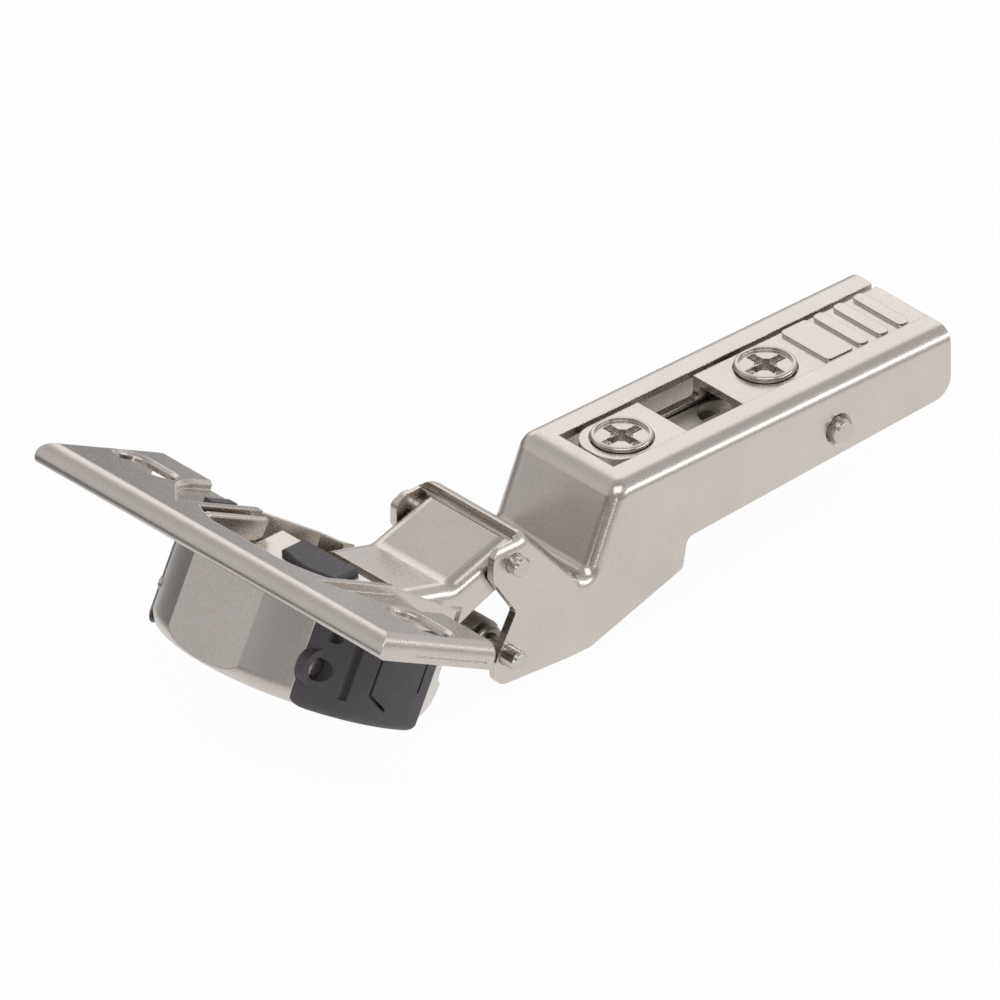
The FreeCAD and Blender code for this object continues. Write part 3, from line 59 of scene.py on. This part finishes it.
LAMPS = {
    "key_lamp": ((-0.25, -0.30, 0.60), (-0.02, 0, 0), (0.62, 0.46), 1.4),
    "rim_lamp": ((0.30, 0.40, 0.34), (-0.01, 0, 0), (0.60, 0.35), 0.38),
    "edge_lamp": ((0.33, -0.44, 0.21), (-0.01, 0, 0), (0.55, 0.09), 0.56),
    "fold_lamp": ((-0.40, -0.44, 0.06), (-0.04, 0, 0), (0.035, 0.16), 0.06),
}
for name, (place, aim, (width, height), power) in LAMPS.items():
    data = bpy.data.lights.new(name, "AREA")
    data.shape = "RECTANGLE"
    data.size = width
    data.size_y = height
    data.energy = power
    lamp = bpy.data.objects.new(name, data)
    scene.collection.objects.link(lamp)
    lamp.location = place
    direction = Vector(aim) - Vector(place)
    lamp.rotation_euler = direction.to_track_quat("-Z", "Y").to_euler()


class Graph:
    """The nodes of a material or of the world."""

    def __init__(self, tree):
        self.nodes = tree.nodes
        self.links = tree.links

    def add(self, kind, **settings):
        node = self.nodes.new("ShaderNode" + kind)
        for name, setting in settings.items():
            setattr(node, name, setting)
        return node

    def feed(self, socket, source):
        """Send another node's output to a socket, or set a constant on it."""
        if isinstance(source, bpy.types.NodeSocket):
            self.links.new(source, socket)
        else:
            socket.default_value = source

    def maths(self, operation, *sources):
        node = self.add("Math", operation=operation)
        for socket, source in zip(node.inputs, sources):
            self.feed(socket, source)
        return node.outputs[0]

    def dot(self, source, other):
        node = self.add("VectorMath", operation="DOT_PRODUCT")
        self.feed(node.inputs[0], source)
        self.feed(node.inputs[1], other)
        return node.outputs["Value"]

    def ramp(self, source, stops):
        """Greys at positions from 0 to 1, the lowest first."""
        node = self.add("ValToRGB")
        band = node.color_ramp.elements
        for i, (position, grey) in enumerate(stops):
            stop = band[i] if i < 2 else band.new(position)
            stop.position = position
            stop.color = (grey, grey, grey * 1.01, 1)
        self.feed(node.inputs[0], source)
        return node.outputs[0]

    def rescale(self, source, given, wanted=(0.0, 1.0)):
        """Map the given range of values to the wanted one."""
        node = self.add("MapRange")
        self.feed(node.inputs["Value"], source)
        node.inputs["From Min"].default_value = given[0]
        node.inputs["From Max"].default_value = given[1]
        node.inputs["To Min"].default_value = wanted[0]
        node.inputs["To Max"].default_value = wanted[1]
        return node.outputs[0]

    def mix_colours(self, share, first, second, kind="MIX"):
        node = self.add("Mix", data_type="RGBA", blend_type=kind)
        self.feed(node.inputs["Factor"], share)
        self.feed(node.inputs["A"], first)
        self.feed(node.inputs["B"], second)
        return node.outputs["Result"]

    def mix_shaders(self, share, first, second):
        node = self.add("MixShader")
        for socket, source in zip(node.inputs, (share, first, second)):
            self.feed(socket, source)
        return node.outputs[0]

    def only_ray(self, *kinds):
        """1 for rays of the given kinds, otherwise 0."""
        rays = self.add("LightPath")
        signal = rays.outputs[kinds[0]]
        for kind in kinds[1:]:
            signal = self.maths("MAXIMUM", signal, rays.outputs[kind])
        return signal


# Room: pale, and in reflections dimmer towards two sides

ROOM_TONES = [(0.0, 0.60), (0.20, 0.75), (0.55, 0.70), (1.0, 0.48)]
DARKER_SIDES = [
    ((-0.575, -0.625, 0.528), [(0.25, 1.0), (0.90, 0.52)]),
    ((-0.20, 0.98, -0.03), [(0.82, 1.0), (0.97, 0.55)]),
]
FILL = 0.85
WHITE = (1, 1, 1, 1)


def make_room():
    world = bpy.data.worlds.new("room")
    scene.world = world
    world.use_nodes = True
    world.node_tree.nodes.clear()
    graph = Graph(world.node_tree)

    def background(colour, strength):
        node = graph.add("Background")
        graph.feed(node.inputs["Color"], colour)
        graph.feed(node.inputs["Strength"], strength)
        return node.outputs[0]

    place = graph.add("TexCoord").outputs["Generated"]
    split = graph.add("SeparateXYZ")
    graph.feed(split.inputs[0], place)
    walls = graph.ramp(split.outputs["Z"], ROOM_TONES)
    fill = background(walls, FILL)
    for direction, stops in DARKER_SIDES:
        shade = graph.ramp(graph.dot(place, direction), stops)
        walls = graph.mix_colours(1.0, walls, shade, "MULTIPLY")
    glossy = graph.only_ray("Is Glossy Ray", "Is Transmission Ray")
    room = graph.mix_shaders(glossy, fill, background(walls, 1.0))
    camera_ray = graph.only_ray("Is Camera Ray")
    room = graph.mix_shaders(camera_ray, room, background(WHITE, 1.0))
    graph.feed(graph.add("OutputWorld").inputs[0], room)


make_room()


# Materials

class Surface(Graph):
    """One node-based material, built up step by step."""

    def __init__(self, name, colour, metallic, roughness):
        self.data = bpy.data.materials.new(name)
        self.data.use_nodes = True
        self.data.diffuse_color = (*colour, 1)
        super().__init__(self.data.node_tree)
        self.shader = self.nodes["Principled BSDF"]
        self.shader.inputs["Base Color"].default_value = (*colour, 1)
        self.shader.inputs["Metallic"].default_value = metallic
        self.shader.inputs["Roughness"].default_value = roughness
        self.place = self.add("TexCoord").outputs["Object"]
        self.normal = None

    def noise(self, scale, detail=3.0):
        """A noise over the piece, with so many features a metre."""
        texture = self.add("TexNoise")
        texture.inputs["Scale"].default_value = scale
        texture.inputs["Detail"].default_value = detail
        self.feed(texture.inputs["Vector"], self.place)
        return texture.outputs["Fac"]

    def mottle(self):
        """A fine grain and broad clouds together."""
        clouds = self.maths("MULTIPLY", self.noise(140), 0.45)
        return self.maths("MULTIPLY_ADD", self.noise(4200, 2.0), 0.55, clouds)

    def spread_roughness(self, source, low, high):
        """Vary the roughness between two values."""
        step = self.rescale(source, (0.3, 0.7), (low, high))
        self.feed(self.shader.inputs["Roughness"], step)

    def tones(self, source, dark, light):
        """Vary the colour between two tones."""
        blend = self.mix_colours(source, (*dark, 1), (*light, 1))
        self.feed(self.shader.inputs["Base Color"], blend)
        return blend

    def bend_normal(self, normal):
        self.normal = normal
        self.feed(self.shader.inputs["Normal"], normal)

    def round_edges(self, radius):
        """Soften the sharp edges a little."""
        bevel = self.add("Bevel", samples=6)
        bevel.inputs["Radius"].default_value = radius
        self.bend_normal(bevel.outputs[0])

    def paint_edge_highlight(self, colour, highlight_tone):
        """Painted highlight: a lighter tone where the softened normal leaves the flat one.
        """
        flat = self.add("NewGeometry").outputs["Normal"]
        step = self.rescale(self.dot(flat, self.normal), (0.995, 0.86))
        blend = self.mix_colours(step, colour, (*highlight_tone, 1))
        self.feed(self.shader.inputs["Base Color"], blend)

    def bump(self, source, height):
        step = self.add("Bump")
        step.inputs["Distance"].default_value = height
        self.feed(step.inputs["Height"], source)
        if self.normal is not None:
            self.feed(step.inputs["Normal"], self.normal)
        self.bend_normal(step.outputs[0])


def nickel(name, dark, light, roughness, grain, edge=0.14 * MM):
    """Satin nickel: warm grey metal, a fine grain and edges painted lighter as a painted
    highlight.
    """
    plate = Surface(name, light, 1.0, roughness)
    colour = plate.tones(plate.mottle(), dark, light)
    plate.spread_roughness(plate.noise(2600, 2.0), roughness * 0.86, roughness * 1.16)
    plate.round_edges(edge)
    # Edges painted lighter than the plate: a painted highlight along the rounded edges.
    plate.paint_edge_highlight(colour, tuple(min(0.8, tone * 1.15) for tone in light))
    plate.bump(plate.noise(3600, 2.0), grain)
    return plate.data


def spring_wire():
    wire = Surface("spring_wire", (0.45, 0.44, 0.42), 1.0, 0.3)
    wire.tones(wire.noise(900), (0.38, 0.37, 0.36), (0.50, 0.49, 0.47))
    wire.spread_roughness(wire.noise(2500), 0.26, 0.36)
    wire.bump(wire.noise(6000), 0.001 * MM)
    return wire.data


def dark_moulding():
    plastic = Surface("dark_moulding", (0.045, 0.045, 0.052), 0.0, 0.42)
    colour = plastic.tones(plastic.noise(500), (0.060, 0.054, 0.060), (0.078, 0.072, 0.079))
    plastic.spread_roughness(plastic.noise(1500), 0.40, 0.52)
    plastic.round_edges(0.15 * MM)
    # Edges painted lighter and bluer than the moulding: a painted highlight along the
    # rounded edges.
    plastic.paint_edge_highlight(colour, (0.085, 0.085, 0.095))
    plastic.bump(plastic.noise(7000), 0.003 * MM)
    return plastic.data


WARM = (0.540, 0.495, 0.452), (0.720, 0.664, 0.612)
TURNED = (0.54, 0.50, 0.46), (0.64, 0.60, 0.56)
INNER = (0.42, 0.39, 0.36), (0.50, 0.47, 0.43)

LOOKS = [
    (nickel("satin_nickel", *WARM, 0.26, 0.00055 * MM),
     ["arm", "carrier_plate"]),
    (nickel("cup_nickel", *WARM, 0.27, 0.0007 * MM, 0.26 * MM),
     ["cup", "deck_plate", "damper_bracket"]),
    (nickel("lever_nickel", *WARM, 0.25, 0.0004 * MM),
     ["outer_lever"]),
    (nickel("turned_nickel", *TURNED, 0.20, 0.0004 * MM),
     ["side_screw", "depth_screw", "upper_arm_pin", "lower_arm_pin", "rear_pin",
      "release_pin", "outer_cup_pin", "inner_cup_pin", "damper_pin"]),
    (nickel("inner_nickel", *INNER, 0.38, 0.0012 * MM),
     ["adjuster_bridge", "clip_base", "release_lever", "inner_lever"]),
    (spring_wire(),
     ["closing_spring", "release_spring"]),
    (dark_moulding(),
     ["damper_housing_near", "damper_housing_far", "damping_switch"]),
]
for look, pieces in LOOKS:
    for piece in pieces:
        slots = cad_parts[piece].data.materials
        slots.clear()
        slots.append(look)


# Floor: pale, and for glossy rays it glows as a painted reflection, darker further out and
# at the far left

FLOOR_REACH = 3.0
FLOOR_GAP = 1.0 * MM
FLOOR_RINGS = [(0.08, 0.98), (0.18, 0.34)]
FAR_LEFT = (-0.38, 0.92, 0.0)
FLOOR_FADE = (0.060, 0.092), (1.0, 0.25)
GLOW_SHARE = 0.8
WHITE_SHARE = 0.965


def make_floor(height):
    mesh = bpy.data.meshes.new("floor")
    corners = [(x * FLOOR_REACH, y * FLOOR_REACH, height)
               for x, y in ((-1, -1), (1, -1), (1, 1), (-1, 1))]
    mesh.from_pydata(corners, [], [(0, 1, 2, 3)])
    floor = bpy.data.objects.new("floor", mesh)
    scene.collection.objects.link(floor)
    paint = Surface("floor_paint", (0.9, 0.9, 0.9), 0.0, 0.7)
    paint.tones(paint.noise(3), (0.89, 0.89, 0.89), (0.91, 0.91, 0.91))
    span = paint.add("VectorMath", operation="LENGTH")
    paint.feed(span.inputs[0], paint.place)
    # Painted reflection: for glossy rays the floor glows, bright near the hinge and darker
    # further out and at the far left.
    glow = paint.add("Emission")
    paint.feed(glow.inputs["Color"], paint.ramp(span.outputs["Value"], FLOOR_RINGS))
    fade = paint.rescale(paint.dot(paint.place, FAR_LEFT), *FLOOR_FADE)
    paint.feed(glow.inputs["Strength"], fade)
    white = paint.add("Emission")
    white.inputs["Color"].default_value = WHITE
    glossy = paint.only_ray("Is Glossy Ray", "Is Transmission Ray")
    share = paint.maths("MULTIPLY", glossy, GLOW_SHARE)
    seen = paint.mix_shaders(share, paint.shader.outputs[0], glow.outputs[0])
    share = paint.maths("MULTIPLY", paint.only_ray("Is Camera Ray"), WHITE_SHARE)
    seen = paint.mix_shaders(share, seen, white.outputs[0])
    paint.feed(paint.nodes["Material Output"].inputs["Surface"], seen)
    floor.data.materials.append(paint.data)


make_floor(cad_low[2] - FLOOR_GAP)
